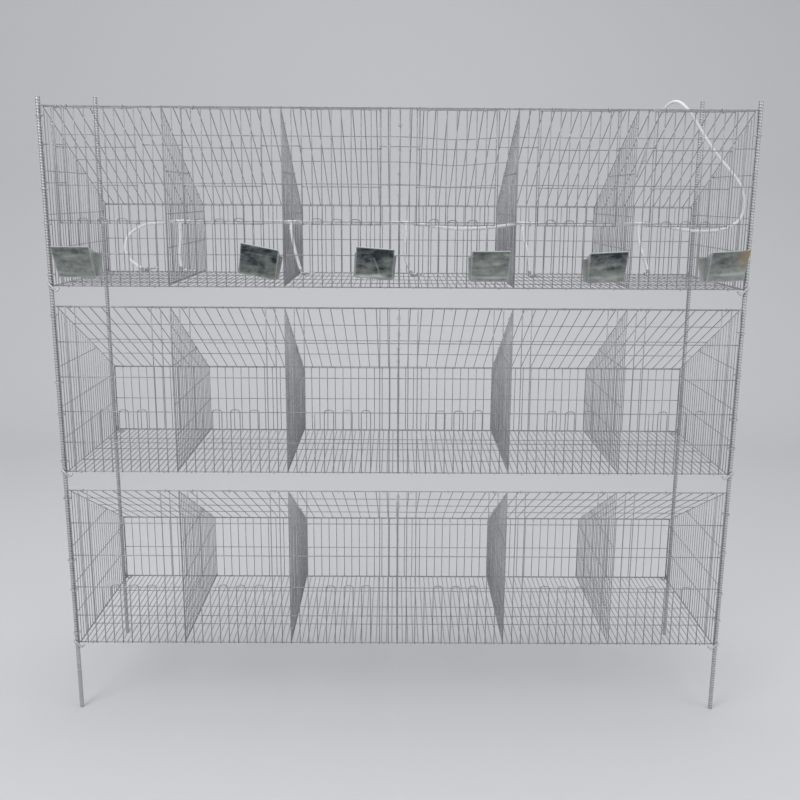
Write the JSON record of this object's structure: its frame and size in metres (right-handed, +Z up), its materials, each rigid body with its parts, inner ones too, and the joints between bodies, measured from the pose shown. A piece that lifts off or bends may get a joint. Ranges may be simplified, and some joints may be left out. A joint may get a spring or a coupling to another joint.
{
  "type": "battery cage",
  "caption": "Tiered galvanised wire cage with sloped roofs, cell dividers, hinged mesh doors, hung sheet feeders and a hose with nipple drinkers.",
  "frame": {"origin": "floor level, under the middle of the whole object's box", "axes": "+X along the length, to the right seen from the front; +Y from front to back; +Z up"},
  "size_m": [1.8342, 0.5468, 1.73],
  "materials": {
    "galvanised_wire": "satin zinc",
    "post_steel": "ribbed, satin zinc",
    "ring_wire": "bright zinc",
    "zinc_sheet": "spangled zinc",
    "hose": "milky, translucent",
    "tee_plastic": "satin",
    "drinker_metal": "turned",
    "pin_metal": "polished"
  },
  "bodies": {
    "cage": {"front_left_post": "post_steel", "front_right_post": "post_steel", "back_left_post": "post_steel", "back_right_post": "post_steel", "lower_front_panel": "galvanised_wire", "lower_roof_panel": "galvanised_wire", "lower_floor_panel": "galvanised_wire", "lower_back_panel": "galvanised_wire", "lower_left_end_panel": "galvanised_wire", "lower_right_end_panel": "galvanised_wire", "lower_divider_1": "galvanised_wire", "lower_divider_2": "galvanised_wire", "lower_divider_3": "galvanised_wire", "lower_divider_4": "galvanised_wire", "lower_divider_5": "galvanised_wire", "middle_front_panel": "galvanised_wire", "middle_roof_panel": "galvanised_wire", "middle_floor_panel": "galvanised_wire", "middle_back_panel": "galvanised_wire", "middle_left_end_panel": "galvanised_wire", "middle_right_end_panel": "galvanised_wire", "middle_divider_1": "galvanised_wire", "middle_divider_2": "galvanised_wire", "middle_divider_3": "galvanised_wire", "middle_divider_4": "galvanised_wire", "middle_divider_5": "galvanised_wire", "upper_front_panel": "galvanised_wire", "upper_roof_panel": "galvanised_wire", "upper_floor_panel": "galvanised_wire", "upper_back_panel": "galvanised_wire", "upper_left_end_panel": "galvanised_wire", "upper_right_end_panel": "galvanised_wire", "upper_divider_1": "galvanised_wire", "upper_divider_2": "galvanised_wire", "upper_divider_3": "galvanised_wire", "upper_divider_4": "galvanised_wire", "upper_divider_5": "galvanised_wire", "hog_rings": "ring_wire", "water_line": "hose", "supply_hose": "hose", "hose_tees": "tee_plastic", "drinker_bodies": "drinker_metal"},
    "door_1": {"door_1": "galvanised_wire"},
    "door_2": {"door_2": "galvanised_wire"},
    "door_3": {"door_3": "galvanised_wire"},
    "door_4": {"door_4": "galvanised_wire"},
    "door_5": {"door_5": "galvanised_wire"},
    "door_6": {"door_6": "galvanised_wire"},
    "feeder_1": {"feeder_1": "zinc_sheet"},
    "feeder_2": {"feeder_2": "zinc_sheet"},
    "feeder_3": {"feeder_3": "zinc_sheet"},
    "feeder_4": {"feeder_4": "zinc_sheet"},
    "feeder_5": {"feeder_5": "zinc_sheet"},
    "feeder_6": {"feeder_6": "zinc_sheet"},
    "drinker_pin_1": {"drinker_pin_1": "pin_metal"},
    "drinker_pin_2": {"drinker_pin_2": "pin_metal"},
    "drinker_pin_3": {"drinker_pin_3": "pin_metal"},
    "drinker_pin_4": {"drinker_pin_4": "pin_metal"},
    "drinker_pin_5": {"drinker_pin_5": "pin_metal"},
    "drinker_pin_6": {"drinker_pin_6": "pin_metal"}
  },
  "joints": [
    {"name": "door_1_hinge", "type": "hinge", "parent": "cage", "child": "door_1", "pos_m": [-0.767, -0.21141, 1.663], "axis": [-1, 0, 0], "range_deg": [0, 110]},
    {"name": "door_2_hinge", "type": "hinge", "parent": "cage", "child": "door_2", "pos_m": [-0.45, -0.21141, 1.663], "axis": [-1, 0, 0], "range_deg": [0, 110]},
    {"name": "door_3_hinge", "type": "hinge", "parent": "cage", "child": "door_3", "pos_m": [-0.148, -0.21141, 1.663], "axis": [-1, 0, 0], "range_deg": [0, 110]},
    {"name": "door_4_hinge", "type": "hinge", "parent": "cage", "child": "door_4", "pos_m": [0.143, -0.21141, 1.663], "axis": [-1, 0, 0], "range_deg": [0, 110]},
    {"name": "door_5_hinge", "type": "hinge", "parent": "cage", "child": "door_5", "pos_m": [0.454, -0.21141, 1.663], "axis": [-1, 0, 0], "range_deg": [0, 110]},
    {"name": "door_6_hinge", "type": "hinge", "parent": "cage", "child": "door_6", "pos_m": [0.741, -0.21141, 1.663], "axis": [-1, 0, 0], "range_deg": [0, 110]},
    {"name": "feeder_1_lift", "type": "slide", "parent": "cage", "child": "feeder_1", "axis": [0, 0, 1], "range_m": [0, 0.014]},
    {"name": "feeder_2_lift", "type": "slide", "parent": "cage", "child": "feeder_2", "axis": [0, 0, 1], "range_m": [0, 0.014]},
    {"name": "feeder_3_lift", "type": "slide", "parent": "cage", "child": "feeder_3", "axis": [0, 0, 1], "range_m": [0, 0.014]},
    {"name": "feeder_4_lift", "type": "slide", "parent": "cage", "child": "feeder_4", "axis": [0, 0, 1], "range_m": [0, 0.014]},
    {"name": "feeder_5_lift", "type": "slide", "parent": "cage", "child": "feeder_5", "axis": [0, 0, 1], "range_m": [0, 0.014]},
    {"name": "feeder_6_lift", "type": "slide", "parent": "cage", "child": "feeder_6", "axis": [0, 0, 1], "range_m": [0, 0.014]},
    {"name": "drinker_pin_1_press", "type": "slide", "parent": "cage", "child": "drinker_pin_1", "axis": [-0.9781, 0, -0.2079], "range_m": [0, 0.0015], "stiffness_N_per_m": 200, "springref_m": -0.002},
    {"name": "drinker_pin_2_press", "type": "slide", "parent": "cage", "child": "drinker_pin_2", "axis": [-1, 0, 0], "range_m": [0, 0.0015], "stiffness_N_per_m": 200, "springref_m": -0.002},
    {"name": "drinker_pin_3_press", "type": "slide", "parent": "cage", "child": "drinker_pin_3", "axis": [-1, 0, 0], "range_m": [0, 0.0015], "stiffness_N_per_m": 200, "springref_m": -0.002},
    {"name": "drinker_pin_4_press", "type": "slide", "parent": "cage", "child": "drinker_pin_4", "axis": [-0.9994, 0, -0.0349], "range_m": [0, 0.0015], "stiffness_N_per_m": 200, "springref_m": -0.002},
    {"name": "drinker_pin_5_press", "type": "slide", "parent": "cage", "child": "drinker_pin_5", "axis": [-0.9994, 0, 0.0349], "range_m": [0, 0.0015], "stiffness_N_per_m": 200, "springref_m": -0.002},
    {"name": "drinker_pin_6_press", "type": "slide", "parent": "cage", "child": "drinker_pin_6", "axis": [0.9986, 0, 0.0523], "range_m": [0, 0.0015], "stiffness_N_per_m": 200, "springref_m": -0.002}
  ]
}
